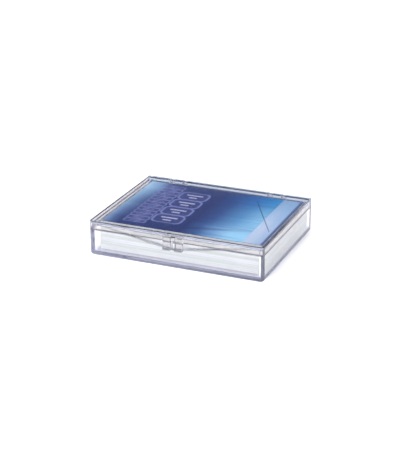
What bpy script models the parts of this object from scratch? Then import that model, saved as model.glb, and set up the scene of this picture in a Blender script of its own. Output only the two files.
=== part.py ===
"""A clear, hinged storage box for trading cards, closed on a full stack of cards.

The box is two rigid mouldings of clear plastic. The tray is a shallow box with a
raised inner lip, a wide V-shaped thumb recess in its front wall and two pairs of
hinge ears on its back wall. The lid is a flat plate with a skirt that drops over
the lip, a rounded back edge with two hinge knuckles, and a forked latch tab that
straddles a small nub on the tray. Fifty cards lie flat inside, as fifty pieces.

Units are metres, +Z is up and the front, with the latch, faces -Y. The origin is
the centre of the tray's footprint, on the table.
"""

import math
import random

import bmesh
import bpy
from mathutils import Vector

MM = 0.001

# Outer size of the closed box, without the latch tab.
LENGTH = 96.0 * MM
DEPTH = 75.0 * MM
HEIGHT = 19.0 * MM
CORNER_RADIUS = 2.2 * MM
FOOT_RADIUS = 1.7 * MM
TOP_RADIUS = 0.6 * MM

# Tray: walls, floor and the lip that the lid's skirt covers.
END_WALL = 2.4 * MM
LONG_WALL = 2.2 * MM
FLOOR = 2.4 * MM
PARTING = 14.5 * MM
PARTING_GAP = 0.24 * MM
LIP_TOP = 16.7 * MM
CLEARANCE = 0.3 * MM

# Lid: plate and skirt.
PLATE = 1.6 * MM
SKIRT = 1.0 * MM

# Hinge: the lid's rounded back edge, as deep as the skirt, turns about the pins' axis.
BEAD_RADIUS = (HEIGHT - PARTING - PARTING_GAP / 2) / 2
HINGE_X = 29.0 * MM
KNUCKLE_HALF = 2.5 * MM
EAR_WIDTH = 2.1 * MM
EAR_RADIUS = 1.9 * MM
STEM_REAR = 0.45 * MM
STEM_FOOT = 12.0 * MM
STEM_INSET = 0.1 * MM
STEM_DROP = 0.8 * MM
REAR_GAP = 0.4 * MM
NOTCH_EASE = 0.08 * MM
PEG_RADIUS = 0.94 * MM
HOLE_RADIUS = 1.0 * MM
PEG_SHORT = 0.2 * MM

# Thumb recess in the tray's front wall.
RECESS_HALF = 26.0 * MM
RECESS_DROP = 4.3 * MM
RECESS_DEPTH = SKIRT + CLEARANCE

# Latch tab on the lid and nub on the tray.
TAB_HALF = 5.4 * MM
TAB_FOOT = 10.6 * MM
TAB_HEAD = 18.3 * MM
TAB_THICKNESS = 1.3 * MM
TAB_CHAMFER = 1.2 * MM
TAB_FLARE = 0.9 * MM
FLARE_START = 1.6 * MM
FLARE_END = 0.7 * MM
LEAD_IN_DEPTH = 0.5 * MM
LEAD_IN_RISE = 0.6 * MM
SLOT_HALF = 1.2 * MM
SLOT_TOP = 17.4 * MM
SLOT_SKIN = 0.02 * MM
NUB_HALF = 0.85 * MM
NUB_FOOT = 11.4 * MM
NUB_REACH = 0.6 * MM

# The stack of standard playing-size trading cards.
CARD_LENGTH = 88.9 * MM
CARD_DEPTH = 63.5 * MM
CARD_COUNT = 50
CARD_THICKNESS = 0.25 * MM
CARD_PITCH = 0.282 * MM
CARD_SHUFFLE = 0.14 * MM
STACK_SHIFT = 0.7 * MM

ARC_STEPS = 6
ROUND_SIDES = 32
OVERRUN = 3.0 * MM

FRONT = -DEPTH / 2
BACK = DEPTH / 2
PIVOT_Y = BACK - BEAD_RADIUS
PIVOT_Z = HEIGHT - BEAD_RADIUS
SHOULDER = PARTING - PARTING_GAP / 2
SKIRT_FOOT = PARTING + PARTING_GAP / 2
PLATE_UNDERSIDE = HEIGHT - PLATE
INNER_X = LENGTH / 2 - END_WALL
INNER_Y = DEPTH / 2 - LONG_WALL
LIP_X = LENGTH / 2 - SKIRT - CLEARANCE
LIP_Y = DEPTH / 2 - SKIRT - CLEARANCE
NOTCH_RADIUS = BEAD_RADIUS + NOTCH_EASE
NOTCH_HALF = KNUCKLE_HALF + CLEARANCE + EAR_WIDTH + CLEARANCE


def clear_scene():
    for old in list(bpy.data.objects):
        bpy.data.objects.remove(old)


def material(name, colour, roughness, alpha=1.0, ior=1.5):
    made = bpy.data.materials.new(name)
    made.use_nodes = True
    shader = made.node_tree.nodes["Principled BSDF"]
    shader.inputs["Base Color"].default_value = (*colour, 1.0)
    shader.inputs["Roughness"].default_value = roughness
    shader.inputs["Metallic"].default_value = 0.0
    shader.inputs["Alpha"].default_value = alpha
    shader.inputs["IOR"].default_value = ior
    return made


def new_object(name, mesh, helper=False):
    made = bpy.data.objects.new(name, mesh)
    bpy.context.scene.collection.objects.link(made)
    if helper:
        made.hide_render = True
        made.display_type = "WIRE"
    return made


def prism(name, outline, axis, start, end, helper=True):
    """A closed prism: outline is a loop of 2-D points and axis is the direction it is
    drawn out along. Outline points are (y, z) along X, (x, z) along Y, (x, y) along Z."""
    place = {
        "X": lambda p, s: (s, p[0], p[1]),
        "Y": lambda p, s: (p[0], s, p[1]),
        "Z": lambda p, s: (p[0], p[1], s),
    }[axis]
    mesh = bpy.data.meshes.new(name)
    work = bmesh.new()
    first = [work.verts.new(place(p, start)) for p in outline]
    last = [work.verts.new(place(p, end)) for p in outline]
    work.faces.new(first)
    work.faces.new(list(reversed(last)))
    count = len(outline)
    for i in range(count):
        j = (i + 1) % count
        work.faces.new([first[j], first[i], last[i], last[j]])
    bmesh.ops.recalc_face_normals(work, faces=work.faces)
    work.to_mesh(mesh)
    work.free()
    return new_object(name, mesh, helper)


def rectangle(x0, x1, y0, y1):
    return [(x0, y0), (x1, y0), (x1, y1), (x0, y1)]


def rounded_rectangle(half_x, half_y, radius):
    points = []
    corners = ((1, 1, 0), (-1, 1, 1), (-1, -1, 2), (1, -1, 3))
    for sign_x, sign_y, quarter in corners:
        for step in range(ARC_STEPS + 1):
            angle = (quarter + step / ARC_STEPS) * math.pi / 2
            x = sign_x * (half_x - radius) + radius * math.cos(angle)
            y = sign_y * (half_y - radius) + radius * math.sin(angle)
            points.append((x, y))
    return points


def arc(centre, radius, start, end, steps):
    """Points along an arc, with angles in degrees."""
    points = []
    for step in range(steps + 1):
        angle = math.radians(start + (end - start) * step / steps)
        points.append(
            (centre[0] + radius * math.cos(angle), centre[1] + radius * math.sin(angle))
        )
    return points


def circle(centre, radius):
    return arc(centre, radius, 0, 360, ROUND_SIDES)[:-1]


def boolean(target, cutter, operation="DIFFERENCE"):
    step = target.modifiers.new(cutter.name, "BOOLEAN")
    step.operation = operation
    step.object = cutter
    step.solver = "EXACT"


def round_edges(obj, radius, keep):
    """Rounds the edges for which keep(a, b) is true, with a and b the edge's ends."""
    work = bmesh.new()
    work.from_mesh(obj.data)
    edges = [e for e in work.edges if keep(e.verts[0].co, e.verts[1].co)]
    bmesh.ops.bevel(
        work,
        geom=edges,
        offset=radius,
        segments=4,
        profile=0.5,
        affect="EDGES",
        clamp_overlap=True,
    )
    work.to_mesh(obj.data)
    work.free()


def finish(obj, look):
    obj.data.materials.append(look)
    obj.data.shade_smooth()
    obj.data.set_sharp_from_angle(angle=math.radians(30))


def recess_outline(top):
    """The V of the thumb recess as (x, z) points, up to the height top."""
    foot = PARTING - RECESS_DROP
    half = RECESS_HALF * (top - foot) / RECESS_DROP
    return [(-half, top), (0.0, foot), (half, top)]


def ear_outline():
    """One hinge ear seen from the side: a round head on a stem that runs down inside the
    back wall. Its rear stays clear of the plate's edge, which swings below the pivot."""
    rear = PIVOT_Y + STEM_REAR
    start = -math.degrees(math.acos(STEM_REAR / EAR_RADIUS))
    head = arc((PIVOT_Y, PIVOT_Z), EAR_RADIUS, start, 180, 16)
    inner = INNER_Y + STEM_INSET
    return head + [
        (PIVOT_Y - EAR_RADIUS, SHOULDER - STEM_DROP),
        (inner, STEM_FOOT),
        (rear, STEM_FOOT),
    ]


def build_tray(look):
    outline = rounded_rectangle(LENGTH / 2, DEPTH / 2, CORNER_RADIUS)
    tray = prism("tray", outline, "Z", 0.0, LIP_TOP, helper=False)
    round_edges(tray, FOOT_RADIUS, lambda a, b: max(a.z, b.z) < 1e-6)

    # Outside the lip, the wall stops at the shoulder that the skirt rests on.
    shelf = prism(
        "cut_shelf",
        rounded_rectangle(LENGTH / 2 + OVERRUN, DEPTH / 2 + OVERRUN, CORNER_RADIUS),
        "Z",
        SHOULDER,
        LIP_TOP + OVERRUN,
    )
    lip = prism(
        "keep_lip",
        rounded_rectangle(LIP_X, LIP_Y, CORNER_RADIUS - SKIRT - CLEARANCE),
        "Z",
        SHOULDER - OVERRUN,
        LIP_TOP + 2 * OVERRUN,
    )
    boolean(shelf, lip)
    boolean(tray, shelf)

    # The back wall stops at the shoulder, below the lid's round back edge.
    rear = prism(
        "cut_rear",
        rectangle(-LENGTH, LENGTH, PIVOT_Y - BEAD_RADIUS - REAR_GAP, BACK + OVERRUN),
        "Z",
        SHOULDER,
        LIP_TOP + OVERRUN,
    )
    boolean(tray, rear)

    hollow = prism(
        "cut_hollow",
        rounded_rectangle(INNER_X, INNER_Y, CORNER_RADIUS / 2),
        "Z",
        FLOOR,
        LIP_TOP + OVERRUN,
    )
    boolean(tray, hollow)

    # The recess is as deep as the skirt, so its back is flush with the lip.
    recess = prism(
        "cut_recess",
        recess_outline(SHOULDER + OVERRUN / 4),
        "Y",
        FRONT - OVERRUN,
        FRONT + RECESS_DEPTH,
    )
    boolean(tray, recess)
    nub = prism(
        "add_nub",
        rectangle(-NUB_HALF, NUB_HALF, NUB_FOOT, SHOULDER - CLEARANCE),
        "Y",
        FRONT - NUB_REACH,
        FRONT + RECESS_DEPTH + CLEARANCE,
    )
    boolean(tray, nub, "UNION")

    for side in (-1, 1):
        for end in (-1, 1):
            inner = side * HINGE_X + end * (KNUCKLE_HALF + CLEARANCE)
            outer = inner + end * EAR_WIDTH
            ear = prism(
                f"add_ear_{side}_{end}",
                ear_outline(),
                "X",
                min(inner, outer),
                max(inner, outer),
            )
            boolean(tray, ear, "UNION")
        hole = prism(
            f"cut_hole_{side}",
            circle((PIVOT_Y, PIVOT_Z), HOLE_RADIUS),
            "X",
            side * HINGE_X - NOTCH_HALF,
            side * HINGE_X + NOTCH_HALF,
        )
        boolean(tray, hole)
    finish(tray, look)
    return tray


def lid_side():
    """The lid's outer side view as (y, z): square front, round back about the pivot."""
    back = arc((PIVOT_Y, PIVOT_Z), BEAD_RADIUS, -90, 90, 16)
    return [(FRONT, SKIRT_FOOT), *back, (FRONT, HEIGHT)]


def lid_hollow_side():
    """The hollow under the plate as (y, z), which stops at the round back edge."""
    rise = PLATE_UNDERSIDE - PIVOT_Z
    meet = 180 - math.degrees(math.asin(rise / BEAD_RADIUS))
    bead = arc((PIVOT_Y, PIVOT_Z), BEAD_RADIUS, meet, 270, 12)
    low = SKIRT_FOOT - OVERRUN
    front = FRONT + SKIRT
    return [(front, low), (front, PLATE_UNDERSIDE), *bead, (PIVOT_Y, low)]


def tab_outline():
    """The latch tab's side view as (y, z), from the skirt's face down to a flared foot."""
    near = FRONT - CLEARANCE
    face = near - TAB_THICKNESS
    inside = FRONT + SKIRT / 2
    return [
        (inside, SKIRT_FOOT),
        (inside, TAB_HEAD),
        (FRONT, TAB_HEAD),
        (face, TAB_HEAD - TAB_CHAMFER),
        (face, TAB_FOOT + FLARE_START),
        (face - TAB_FLARE, TAB_FOOT + FLARE_END),
        (face - TAB_FLARE, TAB_FOOT),
        (near - LEAD_IN_DEPTH, TAB_FOOT),
        (near, TAB_FOOT + LEAD_IN_RISE),
        (near, SKIRT_FOOT),
    ]


def build_lid(look):
    lid = prism("lid", lid_side(), "X", -LENGTH / 2, LENGTH / 2, helper=False)
    plan = prism(
        "keep_plan",
        rounded_rectangle(LENGTH / 2, DEPTH / 2, CORNER_RADIUS),
        "Z",
        SKIRT_FOOT - OVERRUN,
        HEIGHT,
    )
    round_edges(plan, TOP_RADIUS, lambda a, b: min(a.z, b.z) > HEIGHT - 1e-6)
    boolean(lid, plan, "INTERSECT")
    hollow = prism(
        "cut_lid_hollow",
        lid_hollow_side(),
        "X",
        SKIRT - LENGTH / 2,
        LENGTH / 2 - SKIRT,
    )
    boolean(lid, hollow)

    tab = prism("add_tab", tab_outline(), "X", -TAB_HALF, TAB_HALF)
    boolean(lid, tab, "UNION")
    slot = prism(
        "cut_slot",
        rectangle(-SLOT_HALF, SLOT_HALF, TAB_FOOT - OVERRUN, SLOT_TOP),
        "Y",
        FRONT - 2 * OVERRUN,
        FRONT - SLOT_SKIN,
    )
    boolean(lid, slot)

    for side in (-1, 1):
        for end in (-1, 1):
            inner = side * HINGE_X + end * KNUCKLE_HALF
            outer = side * HINGE_X + end * NOTCH_HALF
            notch = prism(
                f"cut_notch_{side}_{end}",
                circle((PIVOT_Y, PIVOT_Z), NOTCH_RADIUS),
                "X",
                min(inner, outer),
                max(inner, outer),
            )
            boolean(lid, notch)
        peg = prism(
            f"add_peg_{side}",
            circle((PIVOT_Y, PIVOT_Z), PEG_RADIUS),
            "X",
            side * HINGE_X - KNUCKLE_HALF - CLEARANCE - EAR_WIDTH + PEG_SHORT,
            side * HINGE_X + KNUCKLE_HALF + CLEARANCE + EAR_WIDTH - PEG_SHORT,
        )
        boolean(lid, peg, "UNION")
    finish(lid, look)
    return lid


def build_cards(parent, plain, printed):
    """The cards, numbered from the floor up, lying a little to the right of the middle.
    The top one shows its printed face."""
    shuffle = random.Random(7)
    for number in range(1, CARD_COUNT + 1):
        mesh = bpy.data.meshes.new(f"card_{number:02d}")
        work = bmesh.new()
        bmesh.ops.create_cube(work, size=1.0)
        size = Vector((CARD_LENGTH, CARD_DEPTH, CARD_THICKNESS))
        bmesh.ops.scale(work, vec=size, verts=work.verts)
        work.to_mesh(mesh)
        work.free()
        card = new_object(f"card_{number:02d}", mesh)
        card.location = (
            STACK_SHIFT + shuffle.uniform(-CARD_SHUFFLE, CARD_SHUFFLE),
            shuffle.uniform(-CARD_SHUFFLE, CARD_SHUFFLE),
            FLOOR + (number - 0.5) * CARD_PITCH,
        )
        card.parent = parent
        top = number == CARD_COUNT
        mesh.materials.append(printed if top else plain)


def main():
    clear_scene()
    clear = material("clear_plastic", (0.90, 0.91, 0.96), 0.06, alpha=0.3, ior=1.59)
    stock = material("card_stock", (0.86, 0.87, 0.88), 0.55)
    printed = material("printed_card", (0.05, 0.12, 0.36), 0.35)
    tray = build_tray(clear)
    lid = build_lid(clear)
    hinge = bpy.data.objects.new("lid_hinge_axis", None)
    hinge.location = (0.0, PIVOT_Y, PIVOT_Z)
    bpy.context.scene.collection.objects.link(hinge)
    hinge.parent = tray
    lid.parent = hinge
    lid.data.transform(hinge.matrix_basis.inverted())
    for modifier in lid.modifiers:
        modifier.object.parent = hinge
        modifier.object.data.transform(hinge.matrix_basis.inverted())
    build_cards(tray, stock, printed)


main()
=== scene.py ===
"""A closed, clear plastic trading card box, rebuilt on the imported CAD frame."""

import math
import random

import bmesh
import bpy
from mathutils import Euler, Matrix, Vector


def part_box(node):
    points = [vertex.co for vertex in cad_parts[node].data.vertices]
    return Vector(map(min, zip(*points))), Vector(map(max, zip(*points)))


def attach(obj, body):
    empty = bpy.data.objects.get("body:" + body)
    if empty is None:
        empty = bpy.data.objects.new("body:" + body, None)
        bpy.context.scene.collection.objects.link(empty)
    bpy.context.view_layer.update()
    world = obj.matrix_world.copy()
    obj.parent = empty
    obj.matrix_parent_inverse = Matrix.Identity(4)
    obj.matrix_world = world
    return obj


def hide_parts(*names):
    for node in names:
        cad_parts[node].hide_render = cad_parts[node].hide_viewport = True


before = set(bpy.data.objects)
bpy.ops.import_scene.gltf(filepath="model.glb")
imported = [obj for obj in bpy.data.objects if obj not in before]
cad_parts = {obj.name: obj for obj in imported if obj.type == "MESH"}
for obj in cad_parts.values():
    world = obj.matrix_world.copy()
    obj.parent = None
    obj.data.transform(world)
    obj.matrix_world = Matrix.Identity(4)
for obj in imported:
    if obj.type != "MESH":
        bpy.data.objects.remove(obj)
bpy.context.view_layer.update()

MM = 0.001

# The closed box, in metres, with the CAD's own dimensions.
LID_LOW, LID_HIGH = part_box("lid")
LENGTH = LID_HIGH.x - LID_LOW.x
DEPTH = 75.0 * MM
HEIGHT = LID_HIGH.z
FRONT = -DEPTH / 2
BACK = DEPTH / 2
CORNER_RADIUS = 2.2 * MM
FOOT_RADIUS = 1.7 * MM
TOP_RADIUS = 0.6 * MM
END_WALL = 2.4 * MM
LONG_WALL = 2.2 * MM
FLOOR = 2.4 * MM
PARTING = 14.5 * MM
PARTING_GAP = 0.24 * MM
LIP_TOP = 16.7 * MM
CLEARANCE = 0.3 * MM
PLATE = 1.6 * MM
SKIRT = 1.0 * MM
BEAD_RADIUS = (HEIGHT - PARTING - PARTING_GAP / 2) / 2
HINGE_X = 29.0 * MM
KNUCKLE_HALF = 2.5 * MM
EAR_WIDTH = 2.1 * MM
EAR_RADIUS = 1.9 * MM
STEM_REAR = 0.45 * MM
STEM_FOOT = 12.0 * MM
STEM_INSET = 0.1 * MM
STEM_DROP = 0.8 * MM
REAR_GAP = 0.4 * MM
NOTCH_EASE = 0.08 * MM
PEG_RADIUS = 0.94 * MM
HOLE_RADIUS = 1.0 * MM
PEG_SHORT = 0.2 * MM
RECESS_HALF = 26.0 * MM
RECESS_DROP = 4.3 * MM
RECESS_DEPTH = SKIRT + CLEARANCE
TAB_HALF = 5.4 * MM
TAB_FOOT = 10.6 * MM
TAB_HEAD = 18.3 * MM
TAB_THICKNESS = 1.3 * MM
TAB_CHAMFER = 1.2 * MM
TAB_FLARE = 0.9 * MM
FLARE_START = 1.6 * MM
FLARE_END = 0.7 * MM
LEAD_IN_DEPTH = 0.5 * MM
LEAD_IN_RISE = 0.6 * MM
SLOT_HALF = 1.2 * MM
SLOT_TOP = 17.4 * MM
SLOT_SKIN = 0.02 * MM
NUB_HALF = 0.85 * MM
NUB_FOOT = 11.4 * MM
NUB_REACH = 0.6 * MM

PIVOT_Y = BACK - BEAD_RADIUS
PIVOT_Z = HEIGHT - BEAD_RADIUS
SHOULDER = PARTING - PARTING_GAP / 2
SKIRT_FOOT = PARTING + PARTING_GAP / 2
PLATE_UNDERSIDE = HEIGHT - PLATE
INNER_X = LENGTH / 2 - END_WALL
INNER_Y = DEPTH / 2 - LONG_WALL
LIP_X = LENGTH / 2 - SKIRT - CLEARANCE
LIP_Y = DEPTH / 2 - SKIRT - CLEARANCE
NOTCH_RADIUS = BEAD_RADIUS + NOTCH_EASE
NOTCH_HALF = KNUCKLE_HALF + CLEARANCE + EAR_WIDTH + CLEARANCE

ARC_STEPS = 10
ROUND_SIDES = 64
OVERRUN = 3.0 * MM
EDGE_BEVEL = 0.24 * MM

CARD_COUNT = 50

# The plastic: its clear tint, painted shade on the skirt, the round back edge, the foot and
# the underside and in the narrow gaps where the mouldings meet, the recess and the slot,
# and how strongly each moulding absorbs light.
CLEAR = (0.97, 0.968, 0.985, 1.0)
SKIRT_SHADE = (0.965, 0.925, 0.95, 1.0)
UNDERSIDE_SHADE = (0.52, 0.53, 0.62, 1.0)
FOOT_SHADE_LEFT = (0.95, 0.95, 1.0, 1.0)
FOOT_SHADE_RIGHT = (0.50, 0.51, 0.60, 1.0)
BEAD_SHADE = (0.70, 0.79, 0.92, 1.0)
GAP_SHADE = (0.39, 0.385, 0.40, 1.0)
SHADE_HALF = 0.22 * MM
RECESS_SHADE = 0.30
SLOT_SHADE = 0.7
TAB_SHADE_HALF = 0.8 * MM
RIM_WIDTH = 2.6 * MM
RIM_FADE = 1.0 * MM
RIM_ROUGHNESS = 0.09
SCRATCH_ROUGHNESS = 0.05
POLYSTYRENE_IOR = 1.59
ABSORPTION = (0.43, 0.45, 0.60, 1.0)
TRAY_DENSITY = 19.0
LID_DENSITY = 8.0

# The room, by the direction that light comes from. The lid's face mirrors its dark side.
DARK_SIDE = (-0.365, 0.852, 0.375)
# Light that comes through the plastic finds the room brighter than its surface mirrors it.
ROOM = 0.36
ROOM_THROUGH = 0.95
DARK = 0.02
DARK_THROUGH = 0.24


# ---- camera, first -------------------------------------------------------------------


def add_camera():
    azimuth = math.radians(23.11)
    elevation = math.radians(22.25)
    distance = 0.6777
    target = Vector((0.0, 0.0, HEIGHT / 2))
    back = Vector(
        (
            math.sin(azimuth) * math.cos(elevation),
            -math.cos(azimuth) * math.cos(elevation),
            math.sin(elevation),
        )
    )
    camera = bpy.data.objects.new("camera", bpy.data.cameras.new("camera"))
    bpy.context.scene.collection.objects.link(camera)
    camera.data.lens = 101.2
    camera.data.sensor_width = 36.0
    camera.data.shift_x = -0.0063
    camera.data.shift_y = -0.0070
    camera.data.clip_start = 0.01
    camera.location = target + back * distance
    turn = (-back).to_track_quat("-Z", "Y")
    roll = Euler((0.0, 0.0, math.radians(-0.41))).to_quaternion()
    camera.rotation_mode = "QUATERNION"
    camera.rotation_quaternion = turn @ roll
    bpy.context.scene.camera = camera


# ---- shapes --------------------------------------------------------------------------


def new_object(name, mesh):
    made = bpy.data.objects.new(name, mesh)
    bpy.context.scene.collection.objects.link(made)
    return made


def prism(outline, axis, start, end):
    """A closed prism: outline is a loop of 2-D points, drawn out along axis."""
    place = {
        "X": lambda p, s: (s, p[0], p[1]),
        "Y": lambda p, s: (p[0], s, p[1]),
        "Z": lambda p, s: (p[0], p[1], s),
    }[axis]
    mesh = bpy.data.meshes.new("shape")
    work = bmesh.new()
    first = [work.verts.new(place(p, start)) for p in outline]
    last = [work.verts.new(place(p, end)) for p in outline]
    work.faces.new(first)
    work.faces.new(list(reversed(last)))
    count = len(outline)
    for i in range(count):
        j = (i + 1) % count
        work.faces.new([first[j], first[i], last[i], last[j]])
    bmesh.ops.recalc_face_normals(work, faces=work.faces)
    work.to_mesh(mesh)
    work.free()
    return new_object("shape", mesh)


def rectangle(x0, x1, y0, y1):
    return [(x0, y0), (x1, y0), (x1, y1), (x0, y1)]


def rounded_rectangle(half_x, half_y, radius):
    points = []
    corners = ((1, 1, 0), (-1, 1, 1), (-1, -1, 2), (1, -1, 3))
    for sign_x, sign_y, quarter in corners:
        for step in range(ARC_STEPS + 1):
            angle = (quarter + step / ARC_STEPS) * math.pi / 2
            x = sign_x * (half_x - radius) + radius * math.cos(angle)
            y = sign_y * (half_y - radius) + radius * math.sin(angle)
            points.append((x, y))
    return points


def arc(radius, start, end, steps):
    """Points about the hinge's pivot, with angles in degrees."""
    points = []
    for step in range(steps + 1):
        angle = math.radians(start + (end - start) * step / steps)
        points.append(
            (PIVOT_Y + radius * math.cos(angle), PIVOT_Z + radius * math.sin(angle))
        )
    return points


def round_edges(obj, radius, keep):
    work = bmesh.new()
    work.from_mesh(obj.data)
    edges = [e for e in work.edges if keep(e.verts[0].co, e.verts[1].co)]
    bmesh.ops.bevel(
        work,
        geom=edges,
        offset=radius,
        segments=8,
        profile=0.5,
        affect="EDGES",
        clamp_overlap=True,
    )
    work.to_mesh(obj.data)
    work.free()


def cut(target, cutter, operation="DIFFERENCE"):
    """One Boolean, applied at once. The cutter is used up."""
    step = target.modifiers.new("cut", "BOOLEAN")
    step.operation = operation
    step.object = cutter
    step.solver = "EXACT"
    bpy.context.view_layer.update()
    seen = target.evaluated_get(bpy.context.evaluated_depsgraph_get())
    result = bpy.data.meshes.new_from_object(seen)
    target.modifiers.clear()
    target.data = result
    bpy.data.objects.remove(cutter)


def polish(obj, name):
    """Softens every hard edge and keeps the flats flat, then bakes that into the mesh."""
    obj.name = name
    work = bmesh.new()
    work.from_mesh(obj.data)
    bmesh.ops.remove_doubles(work, verts=work.verts, dist=0.002 * MM)
    bmesh.ops.dissolve_limit(
        work, angle_limit=math.radians(0.5), verts=work.verts, edges=work.edges
    )
    work.to_mesh(obj.data)
    work.free()
    obj.data.shade_smooth()
    bevel = obj.modifiers.new("soft_edges", "BEVEL")
    bevel.width = EDGE_BEVEL
    bevel.segments = 4
    bevel.limit_method = "ANGLE"
    bevel.angle_limit = math.radians(35)
    bevel.use_clamp_overlap = True
    bevel.miter_outer = "MITER_ARC"
    normals = obj.modifiers.new("flat_faces", "WEIGHTED_NORMAL")
    normals.mode = "FACE_AREA"
    normals.keep_sharp = True
    bpy.context.view_layer.update()
    seen = obj.evaluated_get(bpy.context.evaluated_depsgraph_get())
    result = bpy.data.meshes.new_from_object(seen)
    obj.modifiers.clear()
    obj.data = result
    obj.data.name = name
    return obj


def recess_outline(top):
    foot = PARTING - RECESS_DROP
    half = RECESS_HALF * (top - foot) / RECESS_DROP
    return [(-half, top), (0.0, foot), (half, top)]


def ear_outline():
    start = -math.degrees(math.acos(STEM_REAR / EAR_RADIUS))
    return arc(EAR_RADIUS, start, 180, 30) + [
        (PIVOT_Y - EAR_RADIUS, SHOULDER - STEM_DROP),
        (INNER_Y + STEM_INSET, STEM_FOOT),
        (PIVOT_Y + STEM_REAR, STEM_FOOT),
    ]


def build_tray():
    outline = rounded_rectangle(LENGTH / 2, DEPTH / 2, CORNER_RADIUS)
    tray = prism(outline, "Z", 0.0, LIP_TOP)
    round_edges(tray, FOOT_RADIUS, lambda a, b: max(a.z, b.z) < 1e-6)

    wide = rounded_rectangle(LENGTH / 2 + OVERRUN, DEPTH / 2 + OVERRUN, CORNER_RADIUS)
    shelf = prism(wide, "Z", SHOULDER, LIP_TOP + OVERRUN)
    lip = rounded_rectangle(LIP_X, LIP_Y, CORNER_RADIUS - SKIRT - CLEARANCE)
    cut(shelf, prism(lip, "Z", SHOULDER - OVERRUN, LIP_TOP + 2 * OVERRUN))
    cut(tray, shelf)

    lip_end = PIVOT_Y - BEAD_RADIUS - REAR_GAP
    rear = prism(
        rectangle(-LENGTH, LENGTH, lip_end, BACK + OVERRUN),
        "Z",
        SHOULDER,
        LIP_TOP + OVERRUN,
    )
    cut(tray, rear)

    hollow = rounded_rectangle(INNER_X, INNER_Y, CORNER_RADIUS / 2)
    cut(tray, prism(hollow, "Z", FLOOR, LIP_TOP + OVERRUN))

    recess = recess_outline(SHOULDER + OVERRUN / 4)
    cut(tray, prism(recess, "Y", FRONT - OVERRUN, FRONT + RECESS_DEPTH))
    nub = rectangle(-NUB_HALF, NUB_HALF, NUB_FOOT, SHOULDER - CLEARANCE)
    reach = FRONT + RECESS_DEPTH + CLEARANCE
    cut(tray, prism(nub, "Y", FRONT - NUB_REACH, reach), "UNION")

    for side in (-1, 1):
        for end in (-1, 1):
            inner = side * HINGE_X + end * (KNUCKLE_HALF + CLEARANCE)
            outer = inner + end * EAR_WIDTH
            ear = prism(ear_outline(), "X", min(inner, outer), max(inner, outer))
            cut(tray, ear, "UNION")
        hole = arc(HOLE_RADIUS, 0, 360, ROUND_SIDES)[:-1]
        start = side * HINGE_X - NOTCH_HALF
        cut(tray, prism(hole, "X", start, start + 2 * NOTCH_HALF))
    return polish(tray, "clear_tray")


def lid_side():
    back = arc(BEAD_RADIUS, -90, 90, 40)
    return [(FRONT, SKIRT_FOOT), *back, (FRONT, HEIGHT)]


def lid_hollow_side():
    rise = PLATE_UNDERSIDE - PIVOT_Z
    meet = 180 - math.degrees(math.asin(rise / BEAD_RADIUS))
    low = SKIRT_FOOT - OVERRUN
    front = FRONT + SKIRT
    bead = arc(BEAD_RADIUS, meet, 270, 30)
    return [(front, low), (front, PLATE_UNDERSIDE), *bead, (PIVOT_Y, low)]


def tab_outline():
    near = FRONT - CLEARANCE
    face = near - TAB_THICKNESS
    inside = FRONT + SKIRT / 2
    return [
        (inside, SKIRT_FOOT),
        (inside, TAB_HEAD),
        (FRONT, TAB_HEAD),
        (face, TAB_HEAD - TAB_CHAMFER),
        (face, TAB_FOOT + FLARE_START),
        (face - TAB_FLARE, TAB_FOOT + FLARE_END),
        (face - TAB_FLARE, TAB_FOOT),
        (near - LEAD_IN_DEPTH, TAB_FOOT),
        (near, TAB_FOOT + LEAD_IN_RISE),
        (near, SKIRT_FOOT),
    ]


def build_lid():
    lid = prism(lid_side(), "X", -LENGTH / 2, LENGTH / 2)
    outline = rounded_rectangle(LENGTH / 2, DEPTH / 2, CORNER_RADIUS)
    plan = prism(outline, "Z", SKIRT_FOOT - OVERRUN, HEIGHT)
    round_edges(plan, TOP_RADIUS, lambda a, b: min(a.z, b.z) > HEIGHT - 1e-6)
    cut(lid, plan, "INTERSECT")
    cut(lid, prism(lid_hollow_side(), "X", SKIRT - LENGTH / 2, LENGTH / 2 - SKIRT))

    cut(lid, prism(tab_outline(), "X", -TAB_HALF, TAB_HALF), "UNION")
    slot = rectangle(-SLOT_HALF, SLOT_HALF, TAB_FOOT - OVERRUN, SLOT_TOP)
    cut(lid, prism(slot, "Y", FRONT - 2 * OVERRUN, FRONT - SLOT_SKIN))

    for side in (-1, 1):
        for end in (-1, 1):
            inner = side * HINGE_X + end * KNUCKLE_HALF
            outer = side * HINGE_X + end * NOTCH_HALF
            notch = arc(NOTCH_RADIUS, 0, 360, ROUND_SIDES)[:-1]
            cut(lid, prism(notch, "X", min(inner, outer), max(inner, outer)))
        reach = KNUCKLE_HALF + CLEARANCE + EAR_WIDTH - PEG_SHORT
        peg = arc(PEG_RADIUS, 0, 360, ROUND_SIDES)[:-1]
        centre = side * HINGE_X
        cut(lid, prism(peg, "X", centre - reach, centre + reach), "UNION")
    return polish(lid, "clear_lid")


# ---- materials -----------------------------------------------------------------------


def srgb(red, green, blue):
    """A colour given as 0 to 255, as the linear values a shader takes."""
    linear = []
    for value in (red, green, blue):
        share = value / 255
        low = share / 12.92
        high = ((share + 0.055) / 1.055) ** 2.4
        linear.append(low if share <= 0.04045 else high)
    return (*linear, 1.0)


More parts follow.
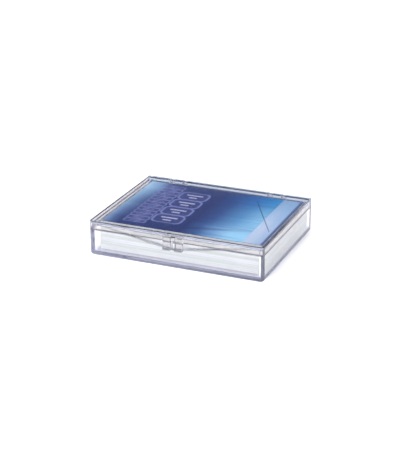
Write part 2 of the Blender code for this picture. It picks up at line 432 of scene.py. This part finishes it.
class Graph:
    """Short calls for the nodes of one material."""

    def __init__(self, name):
        self.material = bpy.data.materials.new(name)
        self.material.use_nodes = True
        self.tree = self.material.node_tree
        self.tree.nodes.clear()
        self.output = self.tree.nodes.new("ShaderNodeOutputMaterial")

    def node(self, kind, **settings):
        made = self.tree.nodes.new(kind)
        for key, value in settings.items():
            setattr(made, key, value)
        return made

    def feed(self, socket, value):
        if isinstance(value, bpy.types.NodeSocket):
            self.tree.links.new(value, socket)
        else:
            socket.default_value = value

    def math(self, operation, a, b=0.0, c=0.0, clamp=False):
        made = self.node("ShaderNodeMath", operation=operation, use_clamp=clamp)
        for socket, value in zip(made.inputs, (a, b, c)):
            self.feed(socket, value)
        return made.outputs[0]

    def mix(self, share, a, b, blend="MIX"):
        made = self.node("ShaderNodeMix", data_type="RGBA", blend_type=blend)
        self.feed(made.inputs[0], share)
        self.feed(made.inputs[6], a)
        self.feed(made.inputs[7], b)
        return made.outputs[2]

    def step(self, value, low, high, bottom=0.0, top=1.0):
        """value from low to high, smoothly, becomes bottom to top."""
        made = self.node("ShaderNodeMapRange", interpolation_type="SMOOTHSTEP")
        self.feed(made.inputs["Value"], value)
        made.inputs["From Min"].default_value = low
        made.inputs["From Max"].default_value = high
        made.inputs["To Min"].default_value = bottom
        made.inputs["To Max"].default_value = top
        return made.outputs[0]

    def ramp(self, value, stops):
        made = self.node("ShaderNodeValToRGB")
        self.feed(made.inputs[0], value)
        elements = made.color_ramp.elements
        while len(elements) < len(stops):
            elements.new(0.5)
        for element, (place, colour) in zip(elements, stops):
            element.position = place
            element.color = colour
        return made.outputs[0]

    def axes(self, output="Object", scale=(1.0, 1.0, 1.0)):
        """The surface's coordinates, scaled, as a vector and as its three parts."""
        source = self.node("ShaderNodeTexCoord").outputs[output]
        mapping = self.node("ShaderNodeMapping")
        mapping.inputs["Scale"].default_value = scale
        self.tree.links.new(source, mapping.inputs["Vector"])
        parts = self.node("ShaderNodeSeparateXYZ")
        self.tree.links.new(mapping.outputs[0], parts.inputs[0])
        return mapping.outputs[0], parts.outputs

    def noise(self, vector, scale, detail=3.0, rough=0.5):
        made = self.node("ShaderNodeTexNoise")
        self.tree.links.new(vector, made.inputs["Vector"])
        made.inputs["Scale"].default_value = scale
        made.inputs["Detail"].default_value = detail
        made.inputs["Roughness"].default_value = rough
        return made.outputs["Fac"]

    def bump(self, height, strength, distance):
        made = self.node("ShaderNodeBump")
        made.inputs["Strength"].default_value = strength
        made.inputs["Distance"].default_value = distance
        self.tree.links.new(height, made.inputs["Height"])
        return made.outputs["Normal"]

    def principled(self, **values):
        made = self.node("ShaderNodeBsdfPrincipled")
        for key, value in values.items():
            self.feed(made.inputs[key.replace("_", " ")], value)
        return made


def tray_tint_and_shade(g, at):
    """Painted shade: darker where the tray faces a narrow gap and in the recess, darker toward
    the right at the foot, and darker on the underside, where shade falls under the box."""
    # Painted shade in the narrow gap at the parting line.
    shoulder_shade = near(g, at[2], SHOULDER, SHADE_HALF)
    front = g.math("LESS_THAN", at[1], FRONT + RECESS_DEPTH + SHADE_HALF)
    sideways = g.math("ABSOLUTE", at[0])
    rise = g.math("MULTIPLY", sideways, RECESS_DROP / RECESS_HALF)
    slope = g.math("SUBTRACT", g.math("SUBTRACT", at[2], PARTING - RECESS_DROP), rise)
    # Painted shade along the lower edge of the recess.
    ledge_shade = g.math("MULTIPLY", near(g, slope, 0.0, 2.2 * SHADE_HALF), front)
    within = g.math("MULTIPLY", front, g.step(sideways, RECESS_HALF, 0.8 * RECESS_HALF))
    # Painted shade along the lip's top edge inside the recess.
    rim = g.math("MULTIPLY", near(g, at[2], LIP_TOP, 1.6 * SHADE_HALF), within)
    behind = g.math("GREATER_THAN", at[1], FRONT + RECESS_DEPTH - SHADE_HALF)
    inside = g.math("MULTIPLY", g.math("GREATER_THAN", slope, 0.0), behind)
    # Painted shade on the recess face.
    face = g.math("MULTIPLY", g.math("MULTIPLY", inside, within), RECESS_SHADE)
    painted_shade = g.math("MAXIMUM", g.math("MAXIMUM", shoulder_shade, ledge_shade), g.math("MAXIMUM", rim, face))
    # Painted shade at the foot, light at the left end and darker toward the right.
    foot = g.step(at[2], FLOOR, FLOOR - 2 * SHADE_HALF)
    right_shade = g.mix(g.step(at[0], -LENGTH / 2, LENGTH / 2), FOOT_SHADE_LEFT, FOOT_SHADE_RIGHT)
    colour = g.mix(foot, CLEAR, right_shade)
    colour = g.mix(painted_shade, colour, GAP_SHADE)
    # Painted shade on the underside, where shade falls under the box.
    return g.mix(g.math("LESS_THAN", at[2], SHADE_HALF), colour, UNDERSIDE_SHADE)


def lid_tint_and_shade(g, at):
    """Clear on the plate, with painted shade: a warm darker cast on the skirt, a bluish cast
    on the thick round back edge, and darker bands at the feet of the skirt and of the latch
    tab and beside the slot."""
    # Painted warm shade on the skirt.
    skirt = g.step(at[2], PLATE_UNDERSIDE, PLATE_UNDERSIDE - 0.5 * MM)
    colour = g.mix(skirt, CLEAR, SKIRT_SHADE)
    # Painted bluish shade on the thick round back edge.
    bead = g.step(at[1], BACK - 2 * BEAD_RADIUS - 1.0 * MM, BACK - 2 * BEAD_RADIUS)
    colour = g.mix(bead, colour, BEAD_SHADE)
    # Painted shade at the feet of the skirt and of the latch tab.
    skirt_foot = near(g, at[2], SKIRT_FOOT, SHADE_HALF)
    tab_foot = near(g, at[2], TAB_FOOT, TAB_SHADE_HALF)
    feet = g.math("MAXIMUM", skirt_foot, tab_foot)
    ahead = g.math("LESS_THAN", at[1], FRONT - 0.5 * SHADE_HALF)
    # Painted shade beside the latch slot.
    slot = near(g, g.math("ABSOLUTE", at[0]), SLOT_HALF, SHADE_HALF)
    slot = g.math("MULTIPLY", g.math("MULTIPLY", slot, ahead), SLOT_SHADE)
    return g.mix(g.math("MAXIMUM", feet, slot), colour, GAP_SHADE)


def near(g, value, middle, half):
    """1 within half of middle, falling to 0 at one and a half times that."""
    away = g.math("ABSOLUTE", g.math("SUBTRACT", value, middle))
    return g.step(away, half, 1.5 * half, 1.0, 0.0)


def rim_share(g, at):
    """1 in the walls and the lid's border, 0 in the flat middle of the lid and the floor."""
    along = g.math("ABSOLUTE", at[0])
    across = g.math("ABSOLUTE", at[1])
    end = LENGTH / 2 - RIM_WIDTH
    side = DEPTH / 2 - RIM_WIDTH
    ends = g.step(along, end - RIM_FADE, end)
    sides = g.step(across, side - RIM_FADE, side)
    return g.math("MAXIMUM", ends, sides)


def clear_plastic(name, tint, density):
    """Clear rigid polystyrene: polished, softer in its walls and border, with hairline
    scratches, a clear tint carrying painted shade, and a violet cast where light runs far
    inside."""
    g = Graph(name)
    vector, at = g.axes()
    long_way, _ = g.axes(scale=(40.0, 900.0, 900.0))
    cloud = g.noise(vector, 55.0, 3.0)
    hair = g.noise(long_way, 1.0, 2.0)
    scratched = g.step(hair, 0.66, 0.72)
    rough = g.step(cloud, 0.35, 0.7, 0.012, 0.035)
    rough = g.math("MULTIPLY_ADD", scratched, SCRATCH_ROUGHNESS, rough)
    rough = g.math("MULTIPLY_ADD", rim_share(g, at), RIM_ROUGHNESS, rough)
    wave = g.noise(vector, 22.0, 1.0)
    relief = g.math("MULTIPLY_ADD", scratched, -0.15, wave)
    glass = g.principled(
        Base_Color=tint(g, at),
        Roughness=rough,
        IOR=POLYSTYRENE_IOR,
        Transmission_Weight=1.0,
        Normal=g.bump(relief, 0.05, 0.00006),
    )
    path = g.node("ShaderNodeLightPath")
    through = g.node("ShaderNodeBsdfTransparent")
    through.inputs["Color"].default_value = CLEAR
    inner = g.node("ShaderNodeMixShader")
    outer = g.node("ShaderNodeMixShader")
    links = g.tree.links
    links.new(path.outputs["Is Diffuse Ray"], inner.inputs[0])
    links.new(glass.outputs[0], inner.inputs[1])
    links.new(through.outputs[0], inner.inputs[2])
    links.new(path.outputs["Is Shadow Ray"], outer.inputs[0])
    links.new(inner.outputs[0], outer.inputs[1])
    links.new(through.outputs[0], outer.inputs[2])
    links.new(outer.outputs[0], g.output.inputs["Surface"])
    haze = g.node("ShaderNodeVolumeAbsorption")
    haze.inputs["Color"].default_value = ABSORPTION
    haze.inputs["Density"].default_value = density
    links.new(haze.outputs[0], g.output.inputs["Volume"])
    return g.material


def card_stock(name, shade):
    """White coated card: its edge shows the plies, and its face a faint tooth."""
    g = Graph(name)
    plies, _ = g.axes(scale=(30.0, 30.0, 9000.0))
    face, _ = g.axes()
    layered = g.noise(plies, 1.0, 2.0)
    tooth = g.noise(face, 2600.0, 2.0)
    light = srgb(*shade)
    dark = tuple(0.85 * part for part in light[:3]) + (1.0,)
    colour = g.mix(g.step(layered, 0.42, 0.68), light, dark)
    card = g.principled(
        Base_Color=colour,
        Roughness=g.step(tooth, 0.3, 0.7, 0.42, 0.58),
        Normal=g.bump(tooth, 0.25, 0.00002),
    )
    g.tree.links.new(card.outputs[0], g.output.inputs["Surface"])
    return g.material


# The printed face, laid out in millimetres from the card's left front corner.
CARD_X = 88.9
CARD_Y = 63.5
SMALL_ROW_X = 16.0
SMALL_ROW_START = 4.8
SMALL_PITCH = 4.27
SMALL_COUNT = 13
LARGE_ROW_X = 31.3
LARGE_ROW_START = 9.5
LARGE_PITCH = 11.3
LARGE_COUNT = 4
NAVY = srgb(22, 40, 102)
DEEP = srgb(14, 24, 70)
LINE = srgb(128, 136, 196)
GLOSS = srgb(172, 178, 224)
INK_DENSITY = (0.84, 0.84, 0.77, 1.0)


def rounded_box(g, x, y, half_x, half_y, radius):
    """Signed distance in mm from the point (x, y) to a rounded box about the origin."""
    along = g.math("SUBTRACT", g.math("ABSOLUTE", x), half_x - radius)
    across = g.math("SUBTRACT", g.math("ABSOLUTE", y), half_y - radius)
    outside_x = g.math("MAXIMUM", along, 0.0)
    outside_y = g.math("MAXIMUM", across, 0.0)
    square = g.math("MULTIPLY_ADD", outside_x, outside_x, g.math("POWER", outside_y, 2.0))
    outside = g.math("SQRT", square)
    inside = g.math("MINIMUM", g.math("MAXIMUM", along, across), 0.0)
    return g.math("SUBTRACT", g.math("ADD", outside, inside), radius)


def outline_of(g, distance, width):
    """1 on a line of that half width about distance 0, soft at its sides."""
    return g.step(g.math("ABSOLUTE", distance), width * 0.6, width * 1.4, 1.0, 0.0)


def cell(g, y, first, pitch, count):
    """For a row of cells along y: the place inside a cell, in mm from its middle, 1 inside
    the row, and the place along the row, counted in cells."""
    shifted = g.math("DIVIDE", g.math("SUBTRACT", y, first), pitch)
    local = g.math("MULTIPLY", g.math("SUBTRACT", g.math("FRACT", shifted), 0.5), pitch)
    above = g.math("GREATER_THAN", shifted, 0.0)
    below = g.math("LESS_THAN", shifted, float(count))
    return local, g.math("MULTIPLY", above, below), shifted


def stroke(g, x, y, start, end, width):
    """1 on a straight thin line between two points in mm."""
    ax, ay = start
    bx, by = end
    length = math.hypot(bx - ax, by - ay)
    dx, dy = (bx - ax) / length, (by - ay) / length
    px = g.math("SUBTRACT", x, ax)
    py = g.math("SUBTRACT", y, ay)
    off = g.math("SUBTRACT", g.math("MULTIPLY", px, dy), g.math("MULTIPLY", py, dx))
    way = g.math("ADD", g.math("MULTIPLY", px, dx), g.math("MULTIPLY", py, dy))
    line = g.step(g.math("ABSOLUTE", off), width * 0.5, width * 1.5, 1.0, 0.0)
    within = g.math(
        "MULTIPLY",
        g.math("GREATER_THAN", way, 0.0),
        g.math("LESS_THAN", way, length),
    )
    return g.math("MULTIPLY", line, within)


def card_ground(g, at):
    """Navy, with a pale glow at the left end and sky blue toward the right."""
    broad, _ = g.axes("Generated", scale=(1.2, 5.0, 0.0))
    wander = g.math("MULTIPLY", g.math("SUBTRACT", g.noise(broad, 1.0, 2.0), 0.5), 0.07)
    along = g.math("ADD", at[0], wander)
    front = g.ramp(
        along,
        (
            (0.0, srgb(118, 142, 184)),
            (0.05, srgb(60, 88, 142)),
            (0.10, srgb(20, 44, 106)),
            (0.49, srgb(18, 42, 100)),
            (0.58, srgb(48, 86, 145)),
            (0.67, srgb(106, 152, 204)),
            (0.77, srgb(148, 202, 242)),
        ),
    )
    middle = g.ramp(
        along,
        (
            (0.0, srgb(130, 164, 200)),
            (0.05, srgb(88, 118, 166)),
            (0.13, srgb(24, 46, 110)),
            (0.50, srgb(22, 44, 104)),
            (0.60, srgb(36, 70, 134)),
            (0.74, srgb(78, 138, 194)),
            (0.85, srgb(128, 186, 230)),
        ),
    )
    rear = g.ramp(
        along,
        (
            (0.0, srgb(160, 198, 232)),
            (0.09, srgb(112, 148, 194)),
            (0.15, srgb(34, 56, 116)),
            (0.50, srgb(24, 46, 106)),
            (0.62, srgb(18, 66, 134)),
            (0.74, srgb(20, 98, 172)),
            (0.84, srgb(26, 126, 192)),
        ),
    )
    colour = g.mix(g.step(at[1], 0.08, 0.45), front, middle)
    return g.mix(g.step(at[1], 0.50, 0.92), colour, rear)


def streaked(g, at, colour):
    """Fine streaks along the card, which fade toward its left end."""
    stretched, _ = g.axes("Generated", scale=(1.6, 26.0, 0.0))
    fine = g.noise(stretched, 1.0, 4.0, 0.6)
    light = g.math("MULTIPLY", g.step(fine, 0.5, 0.8), g.step(at[0], 0.5, 0.75))
    colour = g.mix(g.math("MULTIPLY", light, 0.22), colour, srgb(165, 210, 245))
    dark = g.math("MULTIPLY", g.step(fine, 0.5, 0.3), g.step(at[0], 0.4, 0.7))
    return g.mix(g.math("MULTIPLY", dark, 0.30), colour, NAVY)


def pale_band(g, at, colour):
    """The pale band across the right end, bluer at the back, with painted shade along the
    card's right edge.
    """
    band = g.ramp(
        at[1],
        (
            (0.0, srgb(177, 195, 225)),
            (0.35, srgb(183, 200, 231)),
            (0.72, srgb(151, 181, 219)),
            (1.0, srgb(121, 156, 200)),
        ),
    )
    shade = g.step(at[0], 0.905, 0.965)
    band = g.mix(g.math("MULTIPLY", shade, 0.45), band, srgb(128, 164, 212))
    # Painted shade: a dark strip along the card's right edge, where the end wall shades it.
    band = g.mix(g.step(at[0], 0.974, 0.988), band, srgb(62, 84, 134))
    return g.mix(g.step(at[0], 0.873, 0.879), colour, band)


def small_frames(g, x, y, colour):
    """Thirteen narrow rounded frames in a row, each round one bar."""
    x = g.math("SUBTRACT", x, SMALL_ROW_X)
    local, row, place = cell(g, y, SMALL_ROW_START, SMALL_PITCH, SMALL_COUNT)
    border = rounded_box(g, x, local, 6.0, 1.95, 1.2)
    bar = rounded_box(g, x, local, 3.2, 0.45, 0.45)
    uneven = g.step(g.math("SINE", g.math("MULTIPLY", place, 2.4)), -0.6, 0.6, -1.8, 1.8)
    dot = rounded_box(g, g.math("SUBTRACT", x, uneven), local, 0.9, 1.5, 0.6)
    tint = g.math("MULTIPLY", g.step(border, 0.3, -0.3), row)
    colour = g.mix(g.math("MULTIPLY", tint, 0.34), colour, srgb(78, 88, 146))
    lines = g.math("MAXIMUM", outline_of(g, border, 0.36), outline_of(g, dot, 0.22))
    lines = g.math("MAXIMUM", lines, g.math("MULTIPLY", g.step(bar, 0.2, -0.2), 0.7))
    return g.mix(g.math("MULTIPLY", g.math("MULTIPLY", lines, row), 0.68), colour, LINE)


def large_frames(g, x, y, colour):
    """Four larger rounded frames in a row, each round a long bright bar and a short one."""
    x = g.math("SUBTRACT", x, LARGE_ROW_X)
    local, row, _ = cell(g, y, LARGE_ROW_START, LARGE_PITCH, LARGE_COUNT)
    border = rounded_box(g, x, local, 8.0, 5.5, 3.4)
    tint = g.math("MULTIPLY", g.step(border, 0.3, -0.3), row)
    colour = g.mix(g.math("MULTIPLY", tint, 0.30), colour, srgb(78, 88, 150))
    rim = g.math("MULTIPLY", outline_of(g, border, 0.55), row)
    colour = g.mix(g.math("MULTIPLY", rim, 0.75), colour, LINE)
    for offset, reach in ((1.5, 4.9), (-1.8, 2.6)):
        bar = rounded_box(g, x, g.math("SUBTRACT", local, offset), reach, 1.0, 0.7)
        halo = g.math("MULTIPLY", outline_of(g, bar, 0.6), row)
        colour = g.mix(g.math("MULTIPLY", halo, 0.5), colour, DEEP)
        inside = g.math("MULTIPLY", g.step(bar, 0.0, -0.4), row)
        colour = g.mix(g.math("MULTIPLY", inside, 0.85), colour, GLOSS)
    return colour


def printed_card(name):
    """A dark blue print with light streaks, a pale band and rows of generic frames."""
    g = Graph(name)
    _, at = g.axes("Generated")
    x = g.math("MULTIPLY", at[0], CARD_X)
    y = g.math("MULTIPLY", at[1], CARD_Y)
    colour = streaked(g, at, card_ground(g, at))
    sweep = stroke(g, x, y, (36.0, 5.6), (84.0, 16.6), 1.3)
    fade = g.step(at[0], 0.95, 0.45, 0.12, 0.6)
    colour = g.mix(g.math("MULTIPLY", sweep, fade), colour, NAVY)
    colour = pale_band(g, at, colour)
    colour = small_frames(g, x, y, colour)
    colour = large_frames(g, x, y, colour)
    thin = stroke(g, x, y, (65.5, 55.0), (86.0, 17.5), 0.24)
    colour = g.mix(g.math("MULTIPLY", thin, 0.75), colour, DEEP)
    # Painted shadow: the print turns deep navy along the front and back edges, where the walls
    # shade the card.
    rim = g.math("SUBTRACT", g.math("ABSOLUTE", g.math("SUBTRACT", y, CARD_Y / 2)), 31.0)
    colour = g.mix(g.step(rim, 0.0, 0.4), colour, DEEP)
    colour = g.mix(1.0, colour, INK_DENSITY, "MULTIPLY")

    stock = srgb(232, 234, 232)
    turned = g.node("ShaderNodeSeparateXYZ")
    facing = g.node("ShaderNodeTexCoord").outputs["Normal"]
    g.tree.links.new(facing, turned.inputs[0])
    colour = g.mix(g.step(turned.outputs[2], 0.4, 0.6), stock, colour)

    tooth_at, _ = g.axes()
    tooth = g.noise(tooth_at, 1800.0, 2.0)
    card = g.principled(
        Base_Color=colour,
        Roughness=g.step(tooth, 0.3, 0.7, 0.28, 0.40),
        Specular_IOR_Level=0.2,
        Normal=g.bump(tooth, 0.15, 0.00001),
    )
    g.tree.links.new(card.outputs[0], g.output.inputs["Surface"])
    return g.material


def give(obj, material):
    obj.data.materials.clear()
    obj.data.materials.append(material)


# ---- stage ---------------------------------------------------------------------------


def add_floor():
    mesh = bpy.data.meshes.new("floor")
    work = bmesh.new()
    bmesh.ops.create_grid(work, x_segments=1, y_segments=1, size=6.0)
    work.to_mesh(mesh)
    work.free()
    floor = new_object("floor", mesh)
    floor.location.z = -0.03 * MM
    g = Graph("pale_floor")
    vector, _ = g.axes()
    grain = g.noise(vector, 60.0, 3.0)
    colour = g.mix(grain, (0.66, 0.66, 0.665, 1.0), (0.70, 0.70, 0.705, 1.0))
    paper = g.principled(Base_Color=colour, Roughness=0.8)
    g.tree.links.new(paper.outputs[0], g.output.inputs["Surface"])
    give(floor, g.material)


def add_light(name, place, aim, width, height, power, colour):
    data = bpy.data.lights.new(name, "AREA")
    data.shape = "RECTANGLE"
    data.size = width
    data.size_y = height
    data.energy = power
    data.color = colour
    light = bpy.data.objects.new(name, data)
    bpy.context.scene.collection.objects.link(light)
    light.location = place
    light.rotation_mode = "QUATERNION"
    light.rotation_quaternion = (Vector(aim) - Vector(place)).to_track_quat("-Z", "Y")


def add_world():
    """A pale lavender-grey room with one dark side, which the lid mirrors."""
    world = bpy.data.worlds.new("studio")
    bpy.context.scene.world = world
    world.use_nodes = True
    tree = world.node_tree
    tree.nodes.clear()
    seen = tree.nodes.new("ShaderNodeBackground")
    seen.inputs["Color"].default_value = (1.0, 1.0, 1.0, 1.0)
    seen.inputs["Strength"].default_value = 1.1
    toward = tree.nodes.new("ShaderNodeVectorMath")
    toward.operation = "DOT_PRODUCT"
    toward.inputs[1].default_value = DARK_SIDE
    way = tree.nodes.new("ShaderNodeTexCoord")
    tree.links.new(way.outputs["Generated"], toward.inputs[0])
    path = tree.nodes.new("ShaderNodeLightPath")
    bright = tree.nodes.new("ShaderNodeMix")
    dark = tree.nodes.new("ShaderNodeMix")
    for level, mirrored, through in ((bright, ROOM, ROOM_THROUGH), (dark, DARK, DARK_THROUGH)):
        level.inputs[2].default_value = mirrored
        level.inputs[3].default_value = through
        tree.links.new(path.outputs["Is Transmission Ray"], level.inputs[0])
    share = tree.nodes.new("ShaderNodeMapRange")
    share.interpolation_type = "SMOOTHSTEP"
    share.inputs["From Min"].default_value = 0.965
    share.inputs["From Max"].default_value = 0.985
    tree.links.new(bright.outputs[0], share.inputs["To Min"])
    tree.links.new(dark.outputs[0], share.inputs["To Max"])
    tree.links.new(toward.outputs["Value"], share.inputs["Value"])
    room = tree.nodes.new("ShaderNodeBackground")
    room.inputs["Color"].default_value = (0.87, 0.88, 1.0, 1.0)
    tree.links.new(share.outputs[0], room.inputs["Strength"])
    mixed = tree.nodes.new("ShaderNodeMixShader")
    out = tree.nodes.new("ShaderNodeOutputWorld")
    tree.links.new(path.outputs["Is Camera Ray"], mixed.inputs[0])
    tree.links.new(room.outputs[0], mixed.inputs[1])
    tree.links.new(seen.outputs[0], mixed.inputs[2])
    tree.links.new(mixed.outputs[0], out.inputs["Surface"])


def add_sun(aim, spread, power):
    """Soft light from above, which the polished plastic doesn't mirror."""
    data = bpy.data.lights.new("soft_sky", "SUN")
    data.energy = power
    data.angle = math.radians(spread)
    sun = bpy.data.objects.new("soft_sky", data)
    bpy.context.scene.collection.objects.link(sun)
    sun.visible_glossy = False
    sun.visible_transmission = False
    sun.rotation_mode = "QUATERNION"
    sun.rotation_quaternion = Vector(aim).to_track_quat("-Z", "Y")


def set_the_look():
    scene = bpy.context.scene
    scene.view_settings.view_transform = "Standard"
    scene.view_settings.look = "None"
    scene.cycles.max_bounces = 48
    scene.cycles.diffuse_bounces = 4
    scene.cycles.glossy_bounces = 24
    scene.cycles.transmission_bounces = 40
    scene.cycles.transparent_max_bounces = 32


# ---- the object ----------------------------------------------------------------------


def main():
    add_camera()
    tray = build_tray()
    give(tray, clear_plastic("clear_tray_plastic", tray_tint_and_shade, TRAY_DENSITY))
    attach(tray, "tray")
    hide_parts("tray")

    lid = build_lid()
    give(lid, clear_plastic("clear_lid_plastic", lid_tint_and_shade, LID_DENSITY))
    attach(lid, "lid")
    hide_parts("lid")

    shades = ((236, 238, 238), (226, 230, 228), (240, 240, 236), (214, 222, 214))
    stocks = [card_stock(f"stock_{i}", shade) for i, shade in enumerate(shades)]
    pick = random.Random(3)
    for number in range(1, CARD_COUNT):
        give(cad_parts[f"card_{number:02d}"], pick.choice(stocks))
    give(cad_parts[f"card_{CARD_COUNT:02d}"], printed_card("top_print"))

    add_floor()
    add_world()
    add_sun((0.12, 0.22, -1.0), 60.0, 5.2)
    white = (1.0, 1.0, 1.0)
    add_light("front_left", (-0.5, -0.9, 0.45), (0, 0, 0), 0.8, 0.5, 2.0, white)
    add_light("right", (0.9, -0.2, 0.35), (0, 0, 0), 0.6, 0.5, 1.3, white)
    set_the_look()


main()
